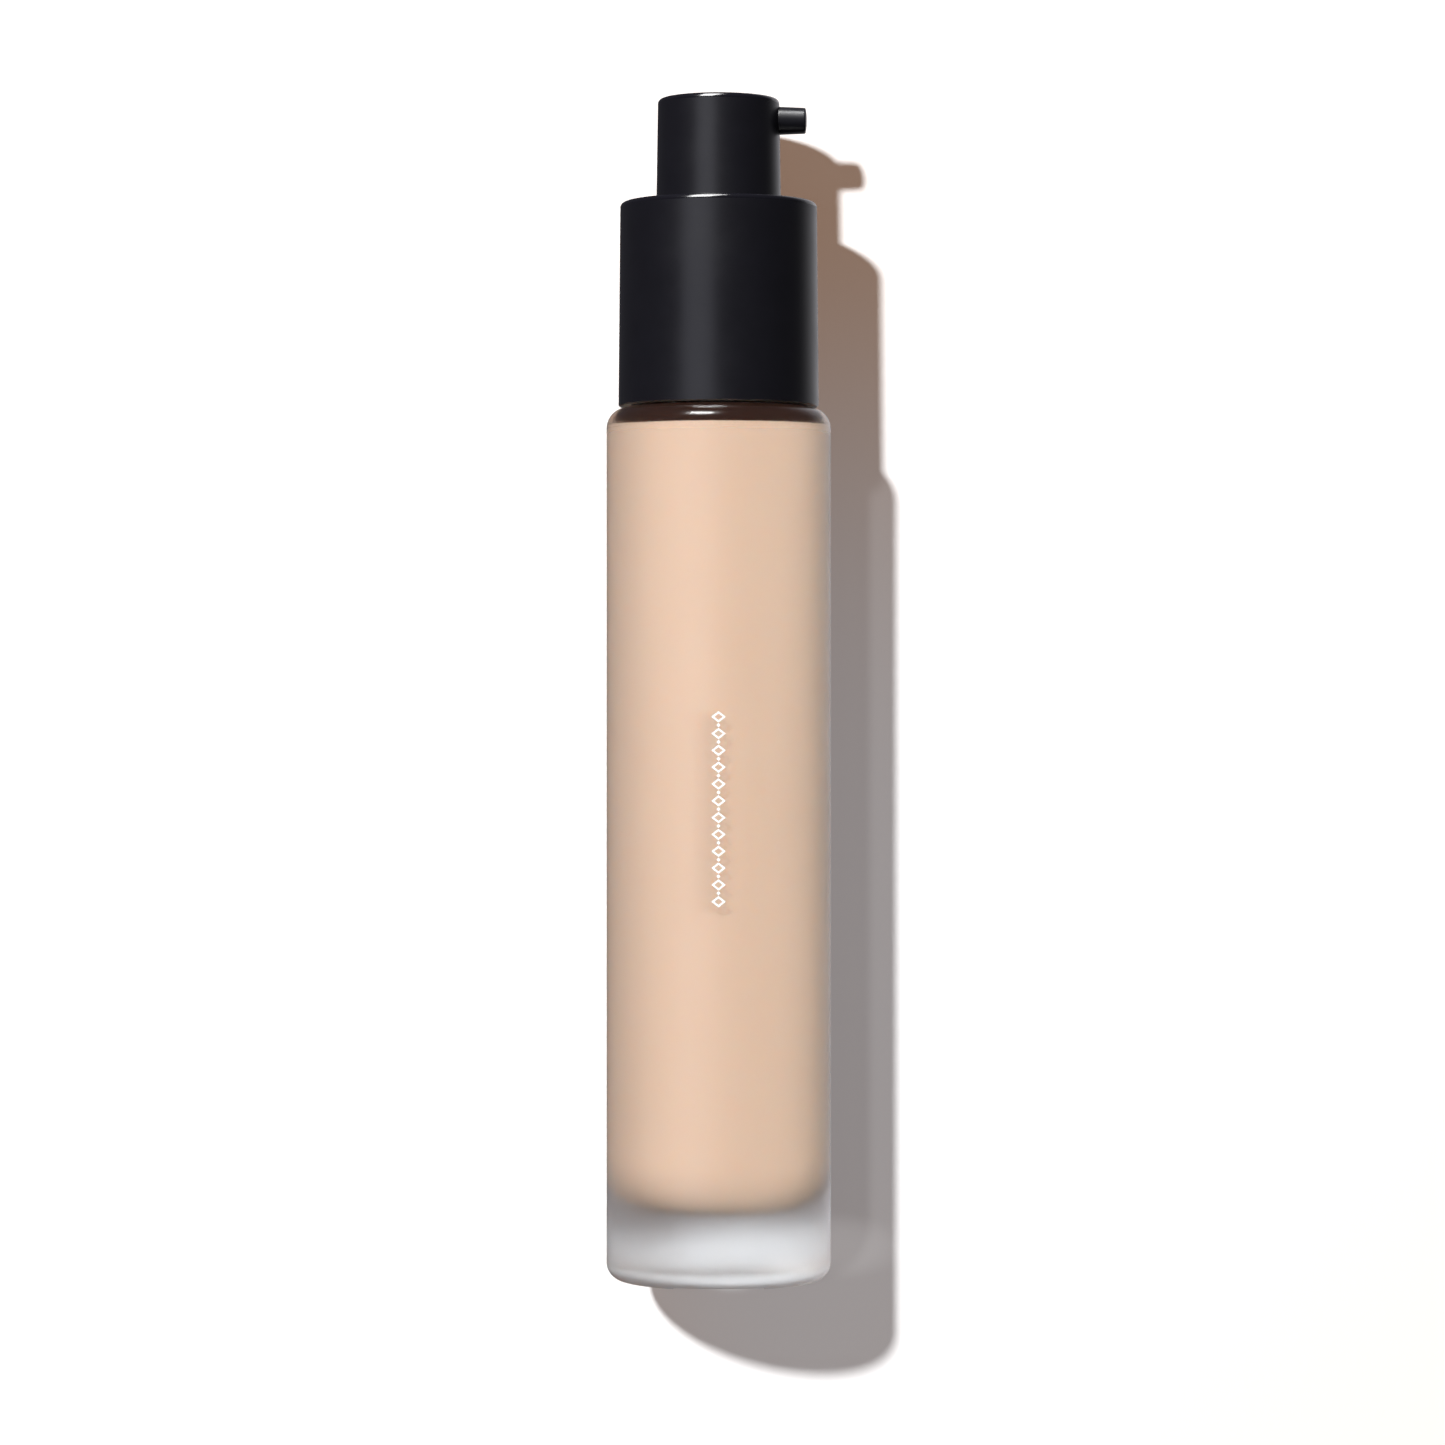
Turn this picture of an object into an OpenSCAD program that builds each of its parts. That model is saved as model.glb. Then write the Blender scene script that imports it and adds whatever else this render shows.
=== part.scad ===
// Foundation bottle: a frosted glass cylinder with a screw-on treatment pump.
// Millimetres. The bottle stands on z = 0 around the z axis, and the nozzle points to +x.

/* [Bottle] */

// Outside diameter of the glass
body_d = 27; // [24:0.5:34]
// Height of the glass from the base to the top of the shoulder
shoulder_z = 105; // [90:0.2:120]
// Thickness of the glass side wall
wall = 3; // [2:0.1:3.4]
// Thickness of the glass base
base_t = 8.4; // [6:0.1:14]
// Air space above the liquid when the bottle is full
air_h = 1; // [0.5:0.1:20]
// Rounding of the heel, where the wall meets the base
heel_r = 2.1; // [1:0.1:3]
// Rounding of the shoulder's outer edge
shoulder_r = 2.5; // [1.5:0.1:3.5]
// Depth of the hollow under the base
push_up = 0.6; // [0.3:0.1:1.2]
// Width of the printing notch in the front of the heel
notch_w = 10.8; // [6:0.2:13]
// Height of the printing notch
notch_h = 0.24; // [0.1:0.02:0.6]

/* [Neck] */

// Height of the neck above the shoulder
neck_h = 14.3; // [13:0.1:16]
// Outside diameter of the neck between the threads
neck_d = 15.6; // [15.2:0.1:15.8]
// Bore of the neck
neck_bore = 10; // [9.6:0.1:10.4]
// Outside diameter over the threads
thread_d = 17.7; // [17.4:0.1:17.9]
// Thread pitch
pitch = 3.175; // [2.8:0.005:3.4]
// Turns of thread on the neck
neck_turns = 1.5; // [1:0.25:1.75]
// Turns of thread inside the closure
closure_turns = 1.25; // [1:0.25:1.5]

/* [Collar] */

// Diameter of the collar sleeve at its lower edge
collar_d = 24.12; // [23:0.02:26]
// Diameter of the collar sleeve at its top
collar_top_d = 23.7; // [22.8:0.02:25.4]
// Length of the collar sleeve
collar_h = 24.55; // [22:0.05:26]
// Gap between the glass shoulder and the collar sleeve
collar_gap = 0.15; // [0.1:0.05:1]
// Rounding of the collar's top edge
collar_edge = 0.6; // [0.2:0.05:1]

/* [Press button] */

// Diameter of the button where it enters the collar
button_d = 15; // [14:0.1:16]
// Diameter of the button at its top
button_top_d = 14.64; // [13.8:0.02:15.6]
// Height of the button that shows above the collar at rest
button_shown = 12.5; // [10:0.1:15]
// Rounding of the button's top edge
button_edge = 0.6; // [0.2:0.05:1]
// Travel of the button when it is pressed
stroke = 4; // [3:0.1:4.2]

/* [Nozzle] */

// Distance from the bottle's axis to the nozzle's tip
nozzle_reach = 10.64; // [9:0.02:12]
// Distance from the button's top down to the nozzle's axis
nozzle_drop = 2.6; // [2.2:0.1:4]
// Diameter of the nozzle where it leaves the button
nozzle_d = 3.38; // [3:0.02:3.6]
// Diameter of the nozzle at its tip
nozzle_tip_d = 3.13; // [2.8:0.01:3.4]
// Diameter of the outlet
outlet_d = 1.1; // [0.8:0.1:1.4]

/* [Pump] */

// Outside diameter of the pump barrel
barrel_d = 8.6; // [8.2:0.1:9]
// Bore of the pump barrel
barrel_bore = 6.8; // [6.4:0.1:7]
// Outside diameter of the dip tube
tube_d = 3.4; // [3:0.1:3.8]
// Bore of the dip tube
tube_bore = 2.3; // [1.6:0.1:2.6]
// Distance from the inside of the base to the tip of the dip tube
tube_clear = 1.4; // [0.8:0.1:4]
// Diameter of the steel ball
ball_d = 2.5; // [2.2:0.1:2.6]
// Diameter of the stem
stem_d = 4; // [3.8:0.1:4.2]
// Flow channel through the stem
channel_d = 1.8; // [1.4:0.1:2]
// Wire of the return spring
wire_d = 0.5; // [0.4:0.05:0.6]
// Working coils of the return spring
coils = 6; // [5:1:7]

/* [Hidden] */

$fn = 96;

eps = 0.01;
run_gap = 0.05;           // radial clearance of a running fit
thread_steps = 36;        // flat steps in one turn of thread
bite = 0.3;               // how far a thread's root is buried in its wall

body_r = body_d / 2;
cavity_r = body_r - wall;
shoulder_t = 1.2;
cavity_top = shoulder_z - shoulder_t;
fill_z = cavity_top - air_h;
cavity_low = 6.5;         // rounding of the cavity's bottom corner
cavity_high = 1;          // rounding of the cavity's top corner

neck_r = neck_d / 2;
land_z = shoulder_z + neck_h;
gasket_t = 0.8;
flange_t = 1.2;
flange_r = neck_r - 0.1;
flange_z = land_z + gasket_t;
disc_z = flange_z + flange_t;
disc_t = 1.2;

collar_z = shoulder_z + collar_gap;
collar_top = collar_z + collar_h;
sleeve_t = 1.15;
sleeve_r = collar_top_d / 2 - sleeve_t;

button_top = collar_top + button_shown;
nozzle_z = button_top - nozzle_drop;
skirt_z = disc_z + disc_t + stroke + 0.4;
shell_t = 1;

stem_r = stem_d / 2;
barrel_r = barrel_bore / 2;
lock_top = disc_z + 5.2;
stem_shoulder_z = disc_z - 4.4;
piston_top = stem_shoulder_z - 0.6;
piston_h = 3.4;
foot_z = piston_top - piston_h;
foot_t = 1.6;
spring_top = foot_z - foot_t;
spring_h = 10;
cage_z = spring_top - spring_h - 1.7;
cage_t = 1.7;
stem_top = nozzle_z - 3.2;

seat_r = 0.8;
ball_room_r = 1.75;
seat_z = cage_z - 3.05;
socket_z = seat_z - 1.15;
socket_l = 6;
tail_r = 2.5;
tube_r = tube_d / 2;
// The ball rests on its 45 degree seat, so its centre is a diagonal above the cone's apex.
ball_z = seat_z - seat_r + ball_d / 2 * sqrt(2) + 0.02;

thread_z = land_z - 1.9 - neck_turns * pitch;

nozzle_stub_r = 1.3;
nozzle_inner = 3.4;
nozzle_seat = button_top_d / 2 - 0.7;

module ring(r_out, r_in, z, h) {
    translate([0, 0, z])
        difference() {
            cylinder(r = r_out, h = h);
            translate([0, 0, -1])
                cylinder(r = r_in, h = h + 2);
        }
}

// Half section of a round bar from z0 to z1, its lower and upper corners rounded.
module bar_section(r, z0, z1, r_low, r_high) {
    translate([0, z0 + r_low])
        square([r, z1 - z0 - r_low - r_high]);
    translate([0, z0])
        square([r - r_low, z1 - z0 - r_high]);
    translate([0, z0 + r_low])
        square([r - r_high, z1 - z0 - r_low]);
    intersection() {
        translate([0, z0])
            square([r, r_low]);
        translate([r - r_low, z0 + r_low])
            circle(r = r_low);
    }
    translate([r - r_high, z1 - r_high])
        circle(r = r_high);
}

// A thread as a closed band that climbs with the angle. Its crest fades out at both ends.
// The bar runs from radius root to radius crest: outwards on a neck, inwards in a closure.
module thread(root, crest, wall_r, z, start, turns, half_root, half_crest) {
    n = round(turns * thread_steps);
    fade = 8;
    grow = [for (i = [0 : n]) min(1, i / fade, (n - i) / fade)];
    flat_r = wall_r + sign(root - wall_r) * 0.05;
    points = [
        for (i = [0 : n])
            let (a = start + i * 360 / thread_steps)
            let (c = z + pitch * i / thread_steps)
            let (top_r = flat_r + grow[i] * (crest - flat_r))
            for (p = [[root, -half_root], [top_r, -half_crest], [top_r, half_crest], [root, half_root]])
                [p[0] * cos(a), p[0] * sin(a), c + p[1]]
    ];
    sides = [
        for (i = [0 : n - 1], k = [0 : 3])
            let (a = 4 * i + k, b = 4 * i + (k + 1) % 4)
            each [[a, b, b + 4], [a, b + 4, a + 4]]
    ];
    ends = [[0, 2, 1], [0, 3, 2], [4 * n, 4 * n + 1, 4 * n + 2], [4 * n, 4 * n + 2, 4 * n + 3]];
    faces = concat(sides, ends);
    flipped = [for (f = faces) [f[2], f[1], f[0]]];
    polyhedron(points = points, faces = crest > root ? faces : flipped);
}

module glass_bottle() {
    neck_fillet = 1;
    lip_r = 0.5;
    dome_r = body_r - heel_r - 1;
    dome_ball = (dome_r * dome_r + push_up * push_up) / (2 * push_up);
    color([0.93, 0.86, 0.82, 0.5])
    union() {
        difference() {
            rotate_extrude()
                difference() {
                    union() {
                        bar_section(body_r, 0, shoulder_z, heel_r, shoulder_r);
                        bar_section(neck_r, shoulder_z - 5, land_z, lip_r, lip_r);
                        difference() {
                            translate([neck_r - eps, shoulder_z - eps])
                                square(neck_fillet + eps);
                            translate([neck_r + neck_fillet, shoulder_z + neck_fillet])
                                circle(r = neck_fillet);
                        }
                    }
                    bar_section(cavity_r, base_t, cavity_top, cavity_low, cavity_high);
                    translate([0, cavity_top - 5])
                        square([neck_bore / 2, neck_h + 10]);
                }
            translate([0, 0, push_up - dome_ball])
                sphere(r = dome_ball);
            translate([-notch_w / 2, -body_r - 1, -1])
                cube([notch_w, heel_r + 3, notch_h + 1]);
        }
        thread(neck_r - bite, thread_d / 2, neck_r, thread_z, 0, neck_turns, 0.85, 0.45);
    }
}

module foundation_liquid() {
    gap = 0.1;
    color([0.89, 0.77, 0.68])
        difference() {
            rotate_extrude()
                intersection() {
                    bar_section(cavity_r, base_t, cavity_top, cavity_low, cavity_high);
                    square([body_r, fill_z]);
                }
            translate([0, 0, socket_z - socket_l - gap])
                cylinder(r = tail_r + gap, h = 12);
            translate([0, 0, seat_z - gap])
                cylinder(r = barrel_d / 2 + gap, h = 40);
            translate([0, 0, base_t + tube_clear - gap])
                cylinder(r = tube_r + gap, h = 90);
        }
}

module neck_gasket() {
    color([0.93, 0.93, 0.9])
        ring(flange_r, barrel_d / 2 + run_gap, land_z, gasket_t);
}

module screw_closure() {
    bore_r = thread_d / 2 + 0.3;
    rib_r = sleeve_r;
    skin_r = sleeve_r - 0.45;
    low_z = collar_z + 0.05;
    high_z = disc_z + disc_t;
    rib_count = 24;
    rib_w = 0.9;
    color([0.12, 0.12, 0.13])
    union() {
        difference() {
            union() {
                translate([0, 0, low_z])
                    cylinder(r = skin_r, h = high_z - low_z);
                intersection() {
                    for (i = [0 : rib_count - 1])
                        rotate([0, 0, i * 360 / rib_count])
                            translate([skin_r - 0.5, -rib_w / 2, low_z + 1])
                                cube([1.5, rib_w, high_z - low_z - 2]);
                    cylinder(r = rib_r, h = high_z + 1);
                }
            }
            translate([0, 0, low_z - 1])
                cylinder(r = bore_r, h = disc_z - low_z + 1);
            cylinder(r = 5.3, h = high_z + 1);
        }
        thread(bore_r + bite, neck_r + 0.3, bore_r, thread_z, -180, closure_turns, 0.8, 0.35);
    }
}

module collar_sleeve() {
    top_t = 1.2;
    hole_r = button_d / 2 + 0.25;
    low_r = collar_d / 2;
    high_r = collar_top_d / 2;
    round_z = collar_top - collar_edge;
    color([0.09, 0.09, 0.1])
        difference() {
            rotate_extrude()
                difference() {
                    union() {
                        polygon([[0, collar_z], [low_r - 0.15, collar_z], [low_r, collar_z + 0.15],
                                 [high_r, round_z], [0, round_z]]);
                        translate([0, round_z - eps])
                            square([high_r - collar_edge, collar_edge + eps]);
                        translate([high_r - collar_edge, round_z])
                            circle(r = collar_edge);
                    }
                    translate([-1, collar_z - 1])
                        square([sleeve_r + 1, collar_h - top_t + 1]);
                }
            translate([0, 0, collar_top - 5])
                cylinder(r = hole_r, h = 10);
        }
}

module pump_housing() {
    tail_z = socket_z - socket_l;
    vent_z = piston_top - 1.4;
    color([0.93, 0.93, 0.9])
        difference() {
            rotate_extrude()
                polygon([[0, tail_z], [tail_r, tail_z], [tail_r, seat_z], [3.1, seat_z + 0.6],
                         [3.1, seat_z + 1.6], [barrel_d / 2, cage_z - 0.4], [barrel_d / 2, flange_z],
                         [flange_r, flange_z], [flange_r, disc_z], [0, disc_z]]);
            translate([0, 0, cage_z])
                cylinder(r = barrel_r, h = 60);
            translate([0, 0, seat_z + ball_room_r - seat_r])
                cylinder(r = ball_room_r, h = 10);
            translate([0, 0, seat_z])
                cylinder(r1 = seat_r, r2 = ball_room_r, h = ball_room_r - seat_r);
            translate([0, 0, tail_z])
                cylinder(r = seat_r, h = 10);
            translate([0, 0, tail_z - 1])
                cylinder(r = tube_r, h = socket_l + 1);
            translate([0, 0, vent_z])
                rotate([0, 90, 0])
                    cylinder(r = 0.35, h = 10);
        }
}

module housing_lock() {
    bottom = piston_top + 0.4;
    guide_z = stem_shoulder_z + 1.1;
    color([0.93, 0.93, 0.9])
        rotate_extrude()
            polygon([[2.9, bottom], [barrel_r, bottom], [barrel_r, disc_z], [4.9, disc_z],
                     [4.9, disc_z + 1.9], [3.4, disc_z + 1.9], [3.1, lock_top], [stem_r + run_gap, lock_top],
                     [stem_r + run_gap, guide_z], [2.9, guide_z]]);
}

module dip_tube() {
    tip_z = base_t + tube_clear;
    color([0.9, 0.9, 0.88, 0.6])
        difference() {
            ring(tube_r, tube_bore / 2, tip_z, socket_z - tip_z);
            translate([-tube_r, 0, tip_z])
                rotate([0, -35, 0])
                    translate([-5, -5, -10])
                        cube([15, 10, 10]);
        }
}

module inlet_ball() {
    color([0.75, 0.76, 0.78])
        translate([0, 0, ball_z])
            sphere(r = ball_d / 2);
}

module ball_cage() {
    color([0.93, 0.93, 0.9])
        difference() {
            translate([0, 0, cage_z])
                cylinder(r = barrel_r, h = cage_t);
            for (a = [0 : 60 : 300])
                rotate([0, 0, a])
                    translate([1.5, 0, cage_z - 1])
                        cylinder(r = 0.4, h = cage_t + 2);
            translate([0, 0, cage_z + 0.7])
                cylinder(r = 2, h = cage_t);
        }
}

module main_spring() {
    steps = 24;
    sides = 8;
    coil_r = 2.3;
    wire_r = wire_d / 2;
    dead = 0.75;
    turns = coils + 2 * dead;
    n = turns * steps;
    low = cage_z + cage_t + wire_r;
    climb = spring_h - 2 * wire_r;
    // Height along the wire: the first and last turns lie almost flat.
    function rise(t) =
        t < dead ? 0.55 * t / dead
        : t > turns - dead ? climb - 0.55 * (turns - t) / dead
        : 0.55 + (climb - 1.1) * (t - dead) / coils;
    points = [
        for (i = [0 : n], k = [0 : sides - 1])
            let (a = i * 360 / steps, b = k * 360 / sides + 360 / sides / 2)
            let (r = coil_r + wire_r * cos(b))
            [r * cos(a), r * sin(a), low + rise(i / steps) + wire_r * sin(b)]
    ];
    faces = concat(
        [for (i = [0 : n - 1], k = [0 : sides - 1])
            let (a = sides * i + k, b = sides * i + (k + 1) % sides)
            each [[a, b, b + sides], [a, b + sides, a + sides]]],
        [for (k = [1 : sides - 2]) each [[0, k + 1, k], [sides * n, sides * n + k, sides * n + k + 1]]]
    );
    color([0.75, 0.76, 0.78])
        polyhedron(points = points, faces = faces);
}

module stem() {
    groove_r = 1.6;
    port_z = foot_z + 2;
    color([0.93, 0.93, 0.9])
        difference() {
            rotate_extrude()
                polygon([[channel_d / 2, foot_z], [groove_r, foot_z], [groove_r, foot_z + 2.5],
                         [stem_r, foot_z + 2.5], [stem_r, stem_shoulder_z], [2.7, stem_shoulder_z],
                         [2.7, stem_shoulder_z + 1], [stem_r, stem_shoulder_z + 1],
                         [stem_r, stem_top], [channel_d / 2, stem_top]]);
            translate([0, 0, port_z])
                rotate([0, 90, 0])
                    cylinder(r = 0.4, h = 10, center = true);
        }
}

module stem_foot() {
    head_r = 2.9;
    color([0.93, 0.93, 0.9])
        rotate_extrude()
            polygon([[0, spring_top - 1.2], [1.5, spring_top - 1.2], [1.8, spring_top - 0.9],
                     [1.8, spring_top], [head_r, spring_top], [head_r, foot_z - 0.4],
                     [head_r - 0.4, foot_z], [channel_d / 2, foot_z], [channel_d / 2, foot_z + 1.4],
                     [0, foot_z + 1.4]]);
}

module piston() {
    lip_r = barrel_r - 0.03;
    waist_r = barrel_r - 0.5;
    color([0.93, 0.93, 0.9])
        rotate_extrude()
            polygon([[stem_r + 0.03, foot_z], [waist_r - 0.3, foot_z], [lip_r - 0.35, foot_z + 0.15],
                     [lip_r, foot_z], [lip_r, foot_z + 0.8], [waist_r, foot_z + 1.1],
                     [waist_r, piston_top - 1.1], [lip_r, piston_top - 0.8], [lip_r, piston_top],
                     [lip_r - 0.35, piston_top - 0.15], [waist_r - 0.3, piston_top - 0.3],
                     [stem_r + 0.03, piston_top - 0.3]]);
}

module actuator_core() {
    core_r = button_top_d / 2 - shell_t - 0.02;
    boss_r = 3.2;
    boss_z = lock_top + stroke + 0.5;
    plug_z = nozzle_z - 3.6;
    plug_top = button_top - 1.2;
    color([0.12, 0.12, 0.13])
        difference() {
            union() {
                translate([0, 0, boss_z])
                    cylinder(r = boss_r, h = plug_z - boss_z + 1);
                translate([0, 0, plug_z])
                    cylinder(r = core_r, h = plug_top - plug_z);
            }
            translate([0, 0, boss_z - 1])
                cylinder(r = stem_r + run_gap, h = stem_top - boss_z + 1);
            translate([0, 0, stem_top - 1])
                cylinder(r = channel_d / 2, h = nozzle_z - stem_top + 1);
            translate([0, 0, nozzle_z])
                rotate([0, 90, 0])
                    cylinder(r = outlet_d / 2, h = 10);
            translate([nozzle_inner, 0, nozzle_z])
                rotate([0, 90, 0])
                    cylinder(r = nozzle_stub_r, h = 10);
        }
}

module actuator_shell() {
    low_r = button_d / 2;
    high_r = button_top_d / 2;
    round_z = button_top - button_edge;
    color([0.09, 0.09, 0.1])
        difference() {
            rotate_extrude()
                difference() {
                    union() {
                        polygon([[0, skirt_z], [low_r - 0.2, skirt_z], [low_r, skirt_z + 0.2],
                                 [low_r, collar_top], [high_r, round_z], [0, round_z]]);
                        translate([0, round_z - eps])
                            square([high_r - button_edge, button_edge + eps]);
                        translate([high_r - button_edge, round_z])
                            circle(r = button_edge);
                    }
                    translate([-1, skirt_z - 1])
                        square([high_r - shell_t + 1, button_top - 1.2 - skirt_z + 1]);
                }
            translate([high_r - 3, 0, nozzle_z])
                rotate([0, 90, 0])
                    cylinder(r = nozzle_stub_r + 0.03, h = 10);
            translate([nozzle_seat, 0, nozzle_z])
                rotate([0, 90, 0])
                    cylinder(r = nozzle_d / 2 + 0.03, h = 10);
        }
}

module nozzle() {
    tip_edge = 0.4;
    crown_r = 7;
    root_r = nozzle_d / 2;
    tip_r = nozzle_tip_d / 2;
    round_x = nozzle_reach - tip_edge;
    color([0.09, 0.09, 0.1])
        translate([0, 0, nozzle_z])
            rotate([0, 90, 0])
                difference() {
                    intersection() {
                        rotate_extrude() {
                            translate([0, nozzle_inner])
                                square([nozzle_stub_r, nozzle_seat - nozzle_inner + eps]);
                            polygon([[0, nozzle_seat], [root_r, nozzle_seat], [root_r, button_top_d / 2],
                                     [tip_r, round_x], [0, round_x]]);
                            translate([0, round_x - eps])
                                square([tip_r - tip_edge, tip_edge + eps]);
                            translate([tip_r - tip_edge, round_x])
                                circle(r = tip_edge);
                        }
                        translate([0, 0, nozzle_reach - crown_r])
                            sphere(r = crown_r);
                    }
                    cylinder(r = outlet_d / 2, h = 20);
                }
}

glass_bottle();
foundation_liquid();
neck_gasket();
screw_closure();
collar_sleeve();
pump_housing();
housing_lock();
dip_tube();
inlet_ball();
ball_cage();
main_spring();
stem();
stem_foot();
piston();
actuator_core();
actuator_shell();
nozzle();
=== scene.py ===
import math

import bpy
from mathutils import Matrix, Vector


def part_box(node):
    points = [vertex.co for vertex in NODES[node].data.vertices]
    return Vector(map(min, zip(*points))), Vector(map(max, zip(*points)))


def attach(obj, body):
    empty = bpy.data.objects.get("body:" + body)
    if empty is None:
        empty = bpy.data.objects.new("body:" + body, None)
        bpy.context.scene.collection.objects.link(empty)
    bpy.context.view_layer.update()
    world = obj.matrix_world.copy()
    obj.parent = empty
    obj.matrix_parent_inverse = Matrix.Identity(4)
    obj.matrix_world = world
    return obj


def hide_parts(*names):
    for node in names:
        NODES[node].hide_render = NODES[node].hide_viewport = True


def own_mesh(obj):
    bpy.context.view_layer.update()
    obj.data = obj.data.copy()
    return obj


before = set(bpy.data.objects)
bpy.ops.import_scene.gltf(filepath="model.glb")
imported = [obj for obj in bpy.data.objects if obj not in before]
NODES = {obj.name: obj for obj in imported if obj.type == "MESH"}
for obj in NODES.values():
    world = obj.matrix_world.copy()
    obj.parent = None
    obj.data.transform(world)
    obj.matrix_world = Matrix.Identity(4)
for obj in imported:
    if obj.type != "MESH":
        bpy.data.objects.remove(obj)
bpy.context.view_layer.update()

MM = 0.001
SCENE = bpy.context.scene

BODY_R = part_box("glass_bottle")[1].x
LIQUID_LOW, LIQUID_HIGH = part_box("foundation_liquid")
FILL_TOP = LIQUID_HIGH.z
CAVITY_ROOF = FILL_TOP + 1 * MM   # over the air space
CAVITY_R = LIQUID_HIGH.x
TUBE_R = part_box("dip_tube")[1].x
HOUSING_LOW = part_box("pump_housing")[0].z
COLLAR_LOW, COLLAR_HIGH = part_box("collar_sleeve")
BUTTON_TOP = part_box("actuator_shell")[1].z
EDGE_R = 0.6 * MM   # rounding of the top edges of the collar and the button
WET = 0.04 * MM     # how far the liquid's skin reaches into the glass, so no gap shows
SHOULDER_TURN = COLLAR_LOW.z - 2.6 * MM   # where the straight wall ends
MIDDLE = Vector((0, 0, 0.075))            # what the softboxes point at
WHITE = (1.0, 1.0, 1.0)


# ---------------------------------------------------------------- node helpers

class Shader:
    """A material and its node tree, with short calls to add and join nodes."""

    def __init__(self, name):
        self.material = bpy.data.materials.new(name)
        self.material.use_nodes = True
        self.tree = self.material.node_tree
        self.tree.nodes.clear()
        self.output = self.add("ShaderNodeOutputMaterial")
        self.place = None

    def add(self, kind, **settings):
        node = self.tree.nodes.new(kind)
        for key, value in settings.items():
            setattr(node, key, value)
        return node

    def set(self, node, **inputs):
        """Fill a node's inputs by name: a plain value, or a socket to link."""
        for key, value in inputs.items():
            socket = node.inputs[key.replace("_", " ")]
            if isinstance(value, bpy.types.NodeSocket):
                self.tree.links.new(value, socket)
            else:
                socket.default_value = value
        return node

    def object_place(self):
        if self.place is None:
            self.place = self.add("ShaderNodeTexCoord").outputs["Object"]
        return self.place

    def cylinder_place(self):
        """Distance from the bottle's axis, and height."""
        split = self.add("ShaderNodeSeparateXYZ")
        self.tree.links.new(self.object_place(), split.inputs[0])
        x, y, z = split.outputs
        squares = [self.math("MULTIPLY", value, value) for value in (x, y)]
        return self.math("SQRT", self.math("ADD", *squares)), z

    def stretched(self, scale):
        mapping = self.add("ShaderNodeMapping")
        self.tree.links.new(self.object_place(), mapping.inputs["Vector"])
        mapping.inputs["Scale"].default_value = scale
        return mapping.outputs["Vector"]

    def noise(self, size, detail=2.0, roughness=0.5, vector=None):
        """Noise with features of about size metres, from 0 to 1."""
        node = self.add("ShaderNodeTexNoise")
        self.set(node, Vector=vector or self.object_place(), Scale=1.0 / size,
                 Detail=detail, Roughness=roughness)
        return node.outputs["Fac"]

    def math(self, operation, a, b=0.0, clamp=False):
        node = self.add("ShaderNodeMath", operation=operation, use_clamp=clamp)
        for socket, value in zip(node.inputs, (a, b)):
            if isinstance(value, bpy.types.NodeSocket):
                self.tree.links.new(value, socket)
            else:
                socket.default_value = value
        return node.outputs[0]

    def ranged(self, value, low, high, to_low, to_high):
        node = self.add("ShaderNodeMapRange")
        self.tree.links.new(value, node.inputs["Value"])
        names = ("From Min", "From Max", "To Min", "To Max")
        for name, number in zip(names, (low, high, to_low, to_high)):
            node.inputs[name].default_value = number
        return node.outputs["Result"]

    def blend(self, factor, a, b):
        """Colour a where factor is 0 and b where it is 1."""
        node = self.add("ShaderNodeMix", data_type="RGBA")
        self.tree.links.new(factor, node.inputs["Factor"])
        for socket, value in ((node.inputs[6], a), (node.inputs[7], b)):
            if isinstance(value, bpy.types.NodeSocket):
                self.tree.links.new(value, socket)
            else:
                socket.default_value = (*value, 1.0)
        return node.outputs[2]

    def bump(self, height, depth, strength=1.0, under=None):
        """A bump of depth metres where height goes from 0 to 1."""
        node = self.add("ShaderNodeBump")
        self.set(node, Height=height, Distance=depth, Strength=strength)
        if under is not None:
            self.tree.links.new(under, node.inputs["Normal"])
        return node.outputs["Normal"]

    def principled(self, **inputs):
        return self.set(self.add("ShaderNodeBsdfPrincipled"), **inputs)

    def finish(self, surface):
        self.tree.links.new(surface, self.output.inputs["Surface"])
        return self.material


# ------------------------------------------------------------------- materials

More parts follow.
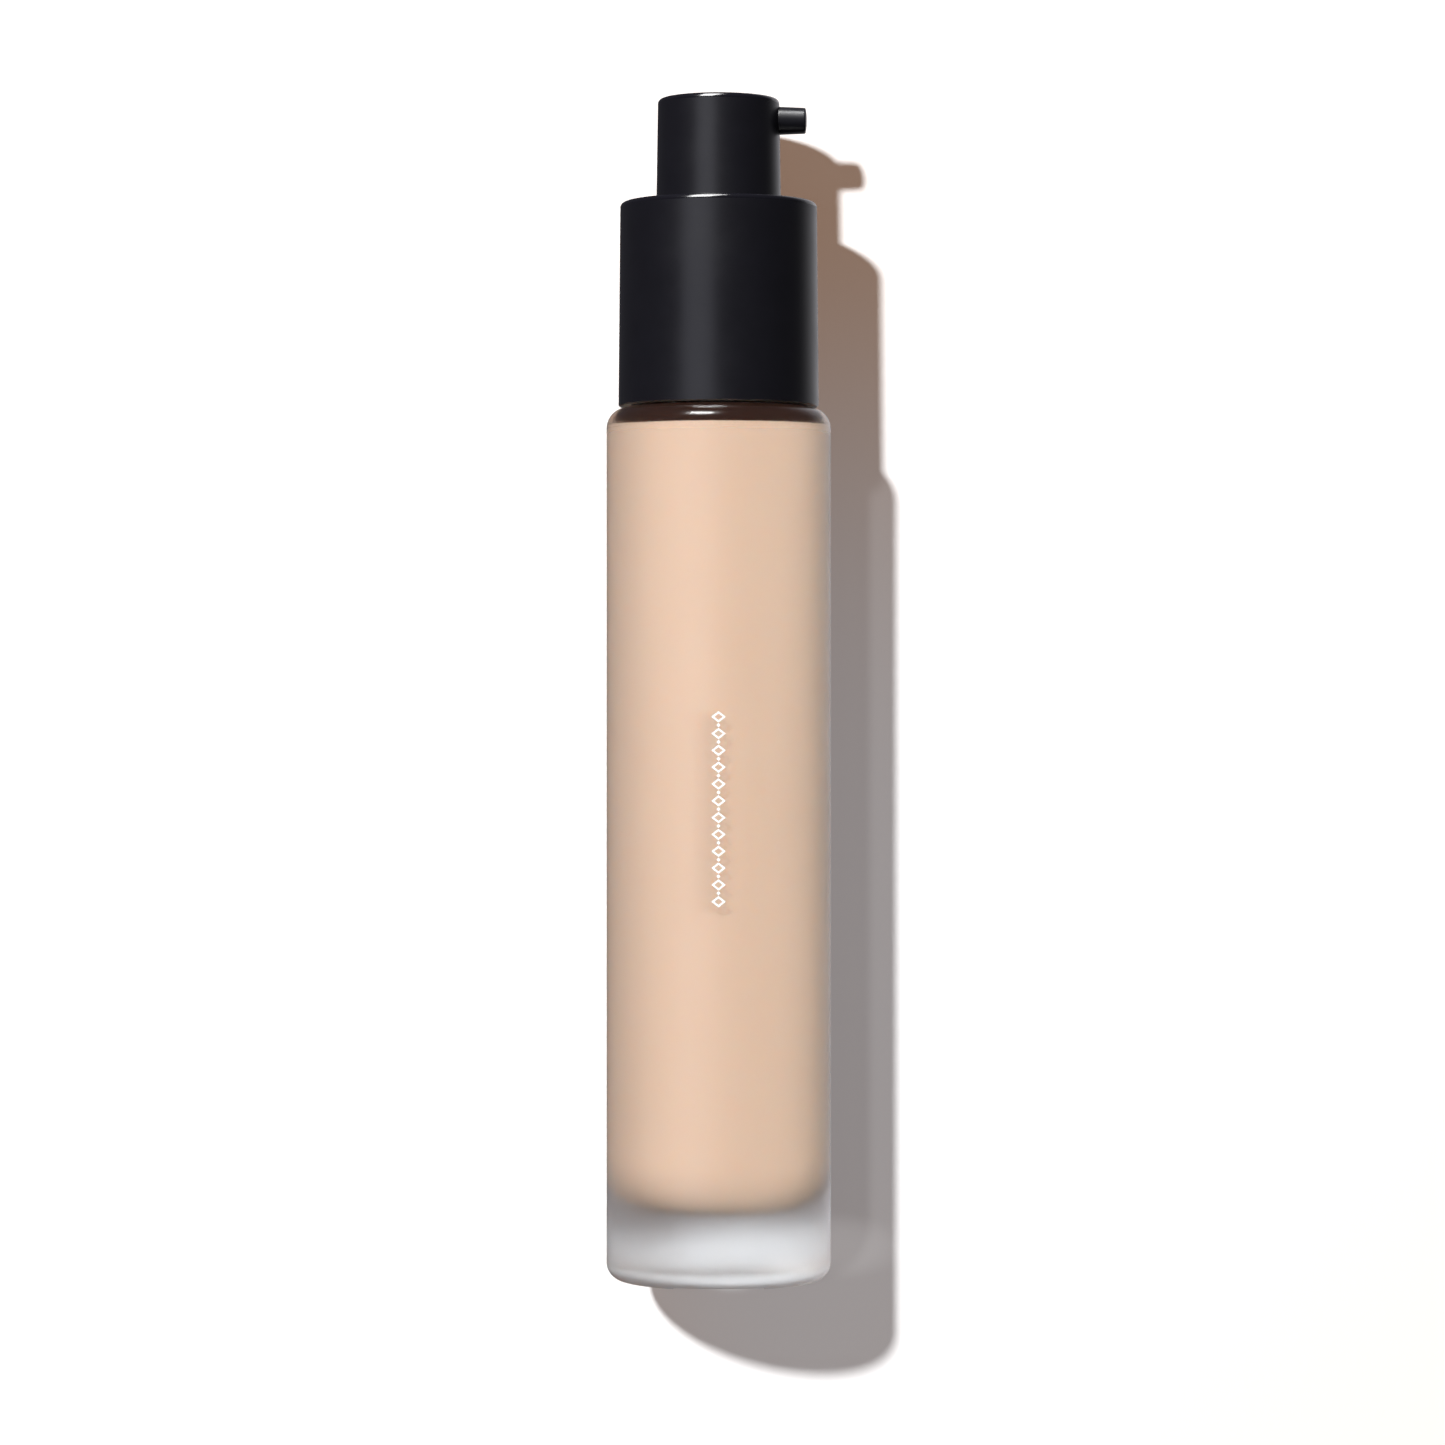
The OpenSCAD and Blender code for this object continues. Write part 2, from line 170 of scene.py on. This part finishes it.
def frosted_glass():
    """Etched outside, least so on the shoulder, and smooth inside.

    Shadow rays and diffuse rays pass straight through it, so the lamps reach the liquid.
    """
    s = Shader("frosted_glass")
    wall_rough, shoulder_rough, inside_rough = 0.36, 0.16, 0.06
    margin = 0.5 * MM
    radius, z = s.cylinder_place()
    inside_wall = s.math("LESS_THAN", radius, CAVITY_R + margin)
    above_floor = s.math("GREATER_THAN", z, LIQUID_LOW.z - margin)
    inside = s.math("MULTIPLY", inside_wall, above_floor)
    shoulder = s.ranged(z, SHOULDER_TURN - 1.2 * MM, SHOULDER_TURN, wall_rough, shoulder_rough)
    patchy = s.math("MULTIPLY", shoulder, s.ranged(s.noise(9 * MM, 3.0), 0.3, 0.7, 0.92, 1.08))
    etched = s.math("MULTIPLY", patchy, s.math("SUBTRACT", 1.0, inside))
    roughness = s.math("ADD", etched, s.math("MULTIPLY", inside, inside_rough))
    grain = s.bump(s.noise(0.09 * MM, 2.0, 0.6), 0.004 * MM, 0.35)
    normal = s.bump(s.noise(0.3 * MM, 1.0), 0.012 * MM, 0.5, under=grain)
    glass = s.principled(Base_Color=(0.93, 0.937, 0.945, 1.0), Roughness=roughness, IOR=1.5,
                         Transmission_Weight=1.0, Normal=normal)
    leaving = s.add("ShaderNodeNewGeometry").outputs["Backfacing"]
    entering = s.blend(inside, (0.06, 0.06, 0.06), (0.5, 0.5, 0.5))
    passed = s.blend(leaving, entering, (0.92, 0.91, 0.91))
    through = s.set(s.add("ShaderNodeBsdfTransparent"), Color=passed)
    mix = s.add("ShaderNodeMixShader")
    rays = s.add("ShaderNodeLightPath").outputs
    straight = s.math("MAXIMUM", rays["Is Shadow Ray"], rays["Is Diffuse Ray"])
    s.tree.links.new(straight, mix.inputs[0])
    s.tree.links.new(glass.outputs[0], mix.inputs[1])
    s.tree.links.new(through.outputs[0], mix.inputs[2])
    return s.finish(mix.outputs[0])


def foundation():
    """An opaque emulsion: it scatters light a little way in, with faint streaks of pigment.

    Over the fill line, where it coats the roof of the cavity, its colour is painted dark brown:
    painted shade for the shade that the collar and the thick shoulder keep it in.
    """
    s = Shader("foundation")
    streaks = s.noise(14 * MM, 4.0, 0.55, s.stretched((1.0, 1.0, 0.35)))
    tone = s.ranged(streaks, 0.3, 0.7, 0.0, 1.0)
    fleck = s.ranged(s.noise(0.25 * MM, 1.0), 0.45, 0.6, 0.0, 0.25)
    cream = s.blend(tone, (0.61, 0.455, 0.342), (0.63, 0.475, 0.36))
    fresh = s.blend(fleck, cream, (0.68, 0.51, 0.395))
    height = s.cylinder_place()[1]
    # Painted shade: over the fill line the foundation is coloured dark brown for the collar's and the
    # shoulder's shade.
    painted_shade_ring = s.math("GREATER_THAN", height, FILL_TOP - 0.1 * MM)
    colour = s.blend(painted_shade_ring, fresh, (0.030, 0.014, 0.010))
    liquid = s.principled(Base_Color=colour, Roughness=0.45, Diffuse_Roughness=1.0,
                          Specular_IOR_Level=0.0, Subsurface_Weight=0.5,
                          Subsurface_Scale=1.2 * MM, Subsurface_Radius=(1.0, 0.55, 0.35))
    return s.finish(liquid.outputs[0])


def satin_plastic(name, colour, roughness, worn=(), grain_size=0.12 * MM, grain_depth=0.0012 * MM):
    """Moulded plastic: a fine even grain, and a gloss that wanders slightly.

    Handling has polished the rounded edges that end at the heights in worn.
    """
    s = Shader(name)
    worn_rough, margin = 0.14, 0.02 * MM
    handled = s.ranged(s.noise(7 * MM, 3.0, 0.6), 0.3, 0.7, roughness - 0.02, roughness + 0.03)
    for top in worn:
        below = s.math("COMPARE", s.cylinder_place()[1], top - EDGE_R / 2)
        below.node.inputs[2].default_value = EDGE_R / 2 + margin
        polish = s.math("MULTIPLY", below, roughness - worn_rough)
        handled = s.math("SUBTRACT", handled, polish)
    grain = s.noise(grain_size, 2.0, 0.55)
    swirl = s.ranged(s.noise(3 * MM, 2.0), 0.3, 0.7, 0.0, 1.0)
    tint = s.blend(swirl, [0.92 * c for c in colour], [min(1.0, 1.08 * c) for c in colour])
    body = s.principled(Base_Color=tint, Roughness=handled, IOR=1.49,
                        Normal=s.bump(grain, grain_depth, 0.6))
    return s.finish(body.outputs[0])


def natural_plastic(name, colour, clear):
    """Uncoloured polypropylene or polyethylene: milky, with some light going through."""
    s = Shader(name)
    cloud = s.ranged(s.noise(2.5 * MM, 3.0), 0.3, 0.7, 0.0, 1.0)
    tint = s.blend(cloud, [0.96 * c for c in colour], colour)
    gloss = s.ranged(s.noise(1.5 * MM, 2.0), 0.3, 0.7, 0.28, 0.38)
    body = s.principled(Base_Color=tint, Roughness=gloss, IOR=1.5, Transmission_Weight=clear,
                        Subsurface_Weight=0.3, Subsurface_Scale=1.0 * MM,
                        Subsurface_Radius=(1.0, 1.0, 0.9),
                        Normal=s.bump(s.noise(0.15 * MM, 2.0), 0.001 * MM, 0.5))
    return s.finish(body.outputs[0])


def foam():
    s = Shader("gasket_foam")
    cells = s.add("ShaderNodeTexVoronoi")
    s.set(cells, Vector=s.object_place(), Scale=1.0 / (0.12 * MM))
    height = cells.outputs["Distance"]
    tint = s.blend(height, (0.80, 0.80, 0.77), (0.88, 0.88, 0.85))
    body = s.principled(Base_Color=tint, Roughness=0.85, Normal=s.bump(height, 0.03 * MM, 0.6))
    return s.finish(body.outputs[0])


def steel():
    s = Shader("steel")
    drawn = s.noise(0.05 * MM, 3.0, 0.6, s.stretched((1.0, 1.0, 6.0)))
    tint = s.blend(drawn, (0.52, 0.52, 0.53), (0.66, 0.66, 0.67))
    gloss = s.ranged(drawn, 0.3, 0.7, 0.18, 0.3)
    body = s.principled(Base_Color=tint, Metallic=1.0, Roughness=gloss,
                        Normal=s.bump(drawn, 0.0008 * MM, 0.5))
    return s.finish(body.outputs[0])


def screen_ink():
    """White screen-printed ink, with the faint mesh marks of the screen."""
    s = Shader("screen_ink")
    mesh = s.noise(0.12 * MM, 1.0)
    tint = s.blend(mesh, (0.90, 0.90, 0.90), (0.97, 0.97, 0.97))
    body = s.principled(Base_Color=tint, Roughness=0.5, Normal=s.bump(mesh, 0.004 * MM, 0.5))
    return s.finish(body.outputs[0])


def backdrop_paper():
    """White card, which only shows from its front."""
    s = Shader("backdrop_paper")
    fibre = s.noise(0.6 * MM, 3.0)
    tint = s.blend(fibre, (0.93, 0.93, 0.93), (0.95, 0.95, 0.95))
    card = s.principled(Base_Color=tint, Roughness=0.9, Specular_IOR_Level=0.2)
    clear = s.add("ShaderNodeBsdfTransparent")
    mix = s.add("ShaderNodeMixShader")
    s.tree.links.new(s.add("ShaderNodeNewGeometry").outputs["Backfacing"], mix.inputs[0])
    s.tree.links.new(card.outputs[0], mix.inputs[1])
    s.tree.links.new(clear.outputs[0], mix.inputs[2])
    return s.finish(mix.outputs[0])


# ---------------------------------------------------------------------- pieces

def mesh_object(name, points, faces, material, smooth=True):
    """A mesh object. Smooth ones keep a sharp edge where faces meet at over 40 degrees."""
    mesh = bpy.data.meshes.new(name)
    mesh.from_pydata(points, [], faces)
    mesh.update()
    if smooth:
        for polygon in mesh.polygons:
            polygon.use_smooth = True
        mesh.set_sharp_from_angle(angle=math.radians(40))
    mesh.materials.append(material)
    piece = bpy.data.objects.new(name, mesh)
    SCENE.collection.objects.link(piece)
    return piece


def arc(centre, radius, start, end, steps):
    """Points of an arc in the (radius, height) half plane, angles in degrees."""
    turn = [math.radians(start + (end - start) * i / steps) for i in range(steps + 1)]
    return [(centre[0] + radius * math.cos(a), centre[1] + radius * math.sin(a)) for a in turn]


def lathe(name, outline, material, around=160):
    """A solid of revolution about z from a closed outline in the half plane."""
    points = []
    faces = []
    count = len(outline)
    for i in range(around):
        angle = 2 * math.pi * i / around
        points += [(r * math.cos(angle), r * math.sin(angle), z) for r, z in outline]
    for i in range(around):
        for k in range(count):
            a, b = i * count + k, i * count + (k + 1) % count
            c, d = ((i + 1) % around) * count + (k + 1) % count, ((i + 1) % around) * count + k
            faces.append((a, d, c, b))
    return mesh_object(name, points, faces, material)


def liquid_filling(material):
    """The foundation. It wets the glass, so its skin lies a hair inside the cavity wall.

    A coat of it clings to the roof of the cavity, over the air space.
    """
    r = CAVITY_R + WET
    low, level, roof = LIQUID_LOW.z - WET, FILL_TOP, CAVITY_ROOF + WET
    corner_low, corner_high = 6.5 * MM, 1 * MM
    coat, meniscus = 0.3 * MM, 0.3 * MM
    bore = 5.2 * MM     # the neck's, where the coat ends
    barrel = 4.4 * MM   # the hole that the pump's barrel leaves in the liquid
    tube = TUBE_R + 0.1 * MM
    outline = [(tube, low)]
    outline += arc((r - corner_low, low + corner_low), corner_low, -90, 0, 24)
    upper = (r - corner_high, roof - corner_high)
    outline += arc(upper, corner_high, 0, 90, 12)
    outline += [(bore, roof), (bore, roof - coat)]
    outline += arc(upper, corner_high - coat, 90, 0, 8)
    outline += arc((r - coat - meniscus, level + meniscus), meniscus, 0, -90, 8)
    outline += [(barrel, level), (barrel, HOUSING_LOW), (tube, HOUSING_LOW)]
    piece = lathe("foundation_fill", outline, material)
    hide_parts("foundation_liquid")
    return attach(piece, "bottle")


def return_spring(material):
    """The return spring, a round wire along a helix that is wound close at both ends.

    It replaces the CAD's spring and has a mesh of its own.
    """
    low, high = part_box("main_spring")
    wire_r, turns = 0.25 * MM, 7.5
    end_turns, end_rise = 0.75, 0.55 * MM   # of each close end
    steps, sides = 32, 12
    coil_r = high.x - wire_r
    climb = high.z - low.z - 2 * wire_r

    def rise(turn):
        if turn < end_turns:
            return end_rise * turn / end_turns
        if turn > turns - end_turns:
            return climb - end_rise * (turns - turn) / end_turns
        return end_rise + (climb - 2 * end_rise) * (turn - end_turns) / (turns - 2 * end_turns)

    count = int(turns * steps)
    points, faces = [], []
    for i in range(count + 1):
        along = 2 * math.pi * i / steps
        for k in range(sides):
            across = 2 * math.pi * k / sides
            r = coil_r + wire_r * math.cos(across)
            z = low.z + wire_r + rise(i / steps) + wire_r * math.sin(across)
            points.append((r * math.cos(along), r * math.sin(along), z))
    for i in range(count):
        for k in range(sides):
            a, b = sides * i + k, sides * i + (k + 1) % sides
            faces.append((a, a + sides, b + sides, b))
    faces.append(tuple(range(sides)))
    faces.append(tuple(reversed(range(sides * count, sides * (count + 1)))))
    piece = mesh_object("return_spring", points, faces, material)
    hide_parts("main_spring")
    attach(piece, "pump")
    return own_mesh(piece)


def print_ornament(material):
    """A chain of lozenges and dots, printed up the front of the glass.

    Each shape is a closed ring, so a dot has a hole too small to see.
    """
    pitch, count = 1.98 * MM, 12
    bottom = 46 * MM
    half_width, half_height, line = 0.85 * MM, 0.66 * MM, 0.26 * MM
    dot, pinhole = 0.24 * MM, 0.1
    proud, sunk = 0.02 * MM, -0.01 * MM
    shrink = 1 - line / half_height
    points, faces = [], []

    def add_shape(outer, inner):
        """A flat shape between two closed loops, bent round the glass and given a thickness."""
        n, start = len(outer), len(points)
        low = 2 * n
        for level in (proud, sunk):
            for x, z in outer + inner:
                angle, r = x / BODY_R, BODY_R + level
                points.append((r * math.sin(angle), -r * math.cos(angle), z))
        for i in range(n):
            k = (i + 1) % n
            rim, rim_next = start + i, start + k
            hole, hole_next = rim + n, rim_next + n
            faces.append((rim, rim_next, hole_next, hole))
            faces.append((rim + low, hole + low, hole_next + low, rim_next + low))
            faces.append((rim, rim + low, rim_next + low, rim_next))
            faces.append((hole, hole_next, hole_next + low, hole + low))

    def lozenge(z, wide, high, steps=6):
        corners = [(wide, 0), (0, high), (-wide, 0), (0, -high)]
        loop = []
        for i, (x0, z0) in enumerate(corners):
            x1, z1 = corners[(i + 1) % 4]
            for t in range(steps):
                share = t / steps
                loop.append((x0 + (x1 - x0) * share, z + z0 + (z1 - z0) * share))
        return loop

    for i in range(count):
        z = bottom + i * pitch
        add_shape(lozenge(z, half_width, half_height),
                  lozenge(z, half_width * shrink, half_height * shrink))
        if i + 1 < count:
            middle = z + pitch / 2
            add_shape(lozenge(middle, dot, dot), lozenge(middle, dot * pinhole, dot * pinhole))
    piece = mesh_object("print_ornament", points, faces, material, smooth=False)
    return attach(piece, "bottle")


# ----------------------------------------------------------------------- build

black = satin_plastic("black_satin_plastic", (0.0036, 0.0034, 0.0052), 0.31,
                      worn=(COLLAR_HIGH.z, BUTTON_TOP))
closure_black = satin_plastic("closure_plastic", (0.016, 0.016, 0.018), 0.42)
natural = natural_plastic("natural_plastic", (0.80, 0.80, 0.77), 0.15)
tube_plastic = natural_plastic("tube_plastic", (0.84, 0.84, 0.82), 0.45)
metal = steel()
LOOKS = {
    "glass_bottle": frosted_glass(),
    "foundation_liquid": foundation(),
    "neck_gasket": foam(),
    "screw_closure": closure_black,
    "collar_sleeve": black,
    "pump_housing": natural,
    "housing_lock": natural,
    "dip_tube": tube_plastic,
    "inlet_ball": metal,
    "ball_cage": natural,
    "main_spring": metal,
    "stem": natural,
    "stem_foot": natural,
    "piston": natural,
    "actuator_core": closure_black,
    "actuator_shell": black,
    "nozzle": black,
}
for name, look in LOOKS.items():
    cad = NODES[name]
    cad.data.materials.clear()
    cad.data.materials.append(look)

filling = liquid_filling(LOOKS["foundation_liquid"])
ornament = print_ornament(screen_ink())
return_spring(metal)

# ------------------------------------------------------------- stage and light

reach = 2.0   # the card's half width, far past the picture's edges
card_corners = [(-reach, 0, -reach), (reach, 0, -reach), (reach, 0, reach), (-reach, 0, reach)]
backdrop = mesh_object("backdrop", card_corners, [(0, 1, 2, 3)], backdrop_paper(), smooth=False)
backdrop.location.y = BODY_R
backdrop.visible_glossy = False
backdrop.visible_diffuse = False


def group(name, objects):
    """A collection for light linking only: it isn't in the scene's own list."""
    collection = bpy.data.collections.new(name)
    for item in objects:
        collection.objects.link(item)
    return collection


def lamp(name, kind, place, travel, lit, **settings):
    """A light at place, shining along travel, on the objects of the group lit."""
    data = bpy.data.lights.new(name, kind)
    for setting, value in settings.items():
        setattr(data, setting, value)
    item = bpy.data.objects.new(name, data)
    item.location = place
    item.rotation_euler = Vector(travel).to_track_quat("-Z", "Y").to_euler()
    SCENE.collection.objects.link(item)
    item.light_linking.receiver_collection = lit
    return item


def towards(azimuth, elevation):
    """Unit vector to a place seen from the bottle: azimuth from -Y towards +X, in degrees."""
    a, e = math.radians(azimuth), math.radians(elevation)
    return Vector((math.sin(a) * math.cos(e), -math.cos(a) * math.cos(e), math.sin(e)))


def softbox(name, azimuth, elevation, distance, width, height, colour, watts, lit):
    way = towards(azimuth, elevation)
    return lamp(name, "AREA", way * distance + MIDDLE, -way, lit, shape="RECTANGLE",
                size=width, size_y=height, color=colour, energy=watts)


def far_point(name, place, radius, watts, lit):
    item = lamp(name, "POINT", place, (0, 1, 0), lit, energy=watts)
    item.data.shadow_soft_size = radius
    return item


card = group("lit_card", [backdrop])
shell = group("lit_shell", list(NODES.values()))
liquid_only = group("lit_liquid", [filling])
ink_only = group("lit_ink", [ornament])
plastic_only = group("lit_plastic", [NODES[n] for n in ("collar_sleeve", "actuator_shell", "nozzle")])
glass_only = group("lit_glass", [NODES["glass_bottle"]])

# The key throws the shadow on the card, and the band lights every CAD piece. Each of the others
# lights one kind of surface only, because one real lamp would not give the photo's levels.
far_point("shadow_key", (-0.497, -1.005, 0.527), 0.038, 76.0, card)
softbox("band", -24, 0, 1.0, 0.66, 0.60, (0.85, 0.86, 1.0), 1.25, shell)
softbox("top_strip", -25, 58, 1.0, 0.40, 0.9, WHITE, 34.0, plastic_only)
softbox("shoulder_strip", -25, 56, 1.0, 0.34, 0.24, WHITE, 6.5, glass_only)
softbox("liquid_key", -12, 20, 1.0, 0.05, 0.05, WHITE, 4.5, liquid_only)
softbox("liquid_fill", 21, 8, 1.0, 0.7, 0.5, WHITE, 12.2, liquid_only)
softbox("liquid_side", -80, 8, 1.0, 0.6, 0.5, (1.0, 0.98, 1.0), 10.2, liquid_only)
softbox("ink_light", -12, 18, 1.0, 0.3, 0.3, WHITE, 14.0, ink_only)

# Light for the far side of the liquid, which the glass and the backdrop don't hold back.
liquid_back = softbox("liquid_back", -165, -14, 1.0, 0.8, 0.9, WHITE, 4.8, liquid_only)
liquid_back.light_linking.blocker_collection = liquid_only


def card_spot(name, x, z, half_width, half_height, watts, colour=WHITE):
    """A soft bright oval on the card, from a spotlight that the bottle doesn't shade."""
    throw = 0.4
    item = lamp(name, "SPOT", (x, BODY_R - throw, z), (0, 1, 0), card, energy=watts, color=colour,
                spot_size=2 * math.atan(half_width / throw), spot_blend=1.0, shadow_soft_size=0)
    item.scale = (1, half_height / half_width, 1)
    item.light_linking.blocker_collection = card


# Lamps that the bottle doesn't shade: a warm one for the level of the shadow, a blue one that takes
# the warm tint out of it beside the body, and two for the bright patch by the thick base.
room = lamp("card_fill", "SUN", (0, -1, 0), (0, 1, 0), card, energy=0.77, color=(1.0, 0.61, 0.41))
room.light_linking.blocker_collection = card
card_spot("base_core", 1.5 * MM, 2 * MM, 6.5 * MM, 5.5 * MM, 5.1, (0.92, 0.97, 1.0))
card_spot("body_fill", 15 * MM, 25 * MM, 45 * MM, 110 * MM, 0.9, (0.15, 0.66, 1.0))
card_spot("base_glow", 14 * MM, 2.5 * MM, 10 * MM, 4.5 * MM, 0.45)


def studio_world():
    """Even fill for diffuse light. Gloss sees a dark studio with a pale wall behind on the right."""
    world = bpy.data.worlds.new("studio")
    world.use_nodes = True
    tree = world.node_tree
    tree.nodes.clear()

    def add(kind, **settings):
        node = tree.nodes.new(kind)
        for setting, value in settings.items():
            setattr(node, setting, value)
        return node

    def ramp(value, low, high):
        node = add("ShaderNodeMapRange", interpolation_type="SMOOTHSTEP")
        tree.links.new(value, node.inputs["Value"])
        node.inputs["From Min"].default_value = low
        node.inputs["From Max"].default_value = high
        return node.outputs["Result"]

    split = add("ShaderNodeSeparateXYZ")
    tree.links.new(add("ShaderNodeTexCoord").outputs["Generated"], split.inputs[0])
    wall = add("ShaderNodeMath", operation="MULTIPLY")
    tree.links.new(ramp(split.outputs["X"], -0.1, 0.3), wall.inputs[0])
    tree.links.new(ramp(split.outputs["Y"], 0.30, 0.95), wall.inputs[1])
    dark = add("ShaderNodeMix", data_type="RGBA")
    tree.links.new(wall.outputs[0], dark.inputs["Factor"])
    dark.inputs[6].default_value = (0.06, 0.06, 0.07, 1.0)
    dark.inputs[7].default_value = (0.75, 0.74, 0.78, 1.0)
    ray = add("ShaderNodeLightPath").outputs["Is Glossy Ray"]
    seen = add("ShaderNodeMix", data_type="RGBA")
    tree.links.new(ray, seen.inputs["Factor"])
    seen.inputs[6].default_value = (0.035, 0.032, 0.031, 1.0)
    tree.links.new(dark.outputs[2], seen.inputs[7])
    background = add("ShaderNodeBackground")
    tree.links.new(seen.outputs[2], background.inputs["Color"])
    tree.links.new(background.outputs[0], add("ShaderNodeOutputWorld").inputs[0])
    return world


SCENE.world = studio_world()

# The photo's framing.
camera = bpy.data.cameras.new("camera")
camera.lens = 121.6
camera.sensor_width = 36
camera_object = bpy.data.objects.new("camera", camera)
camera_object.location = (0.47 * MM, -588.2 * MM, 67.1 * MM)
camera_object.rotation_euler = (math.pi / 2, 0, 0)
SCENE.collection.objects.link(camera_object)
SCENE.camera = camera_object
SCENE.view_settings.view_transform = "Standard"
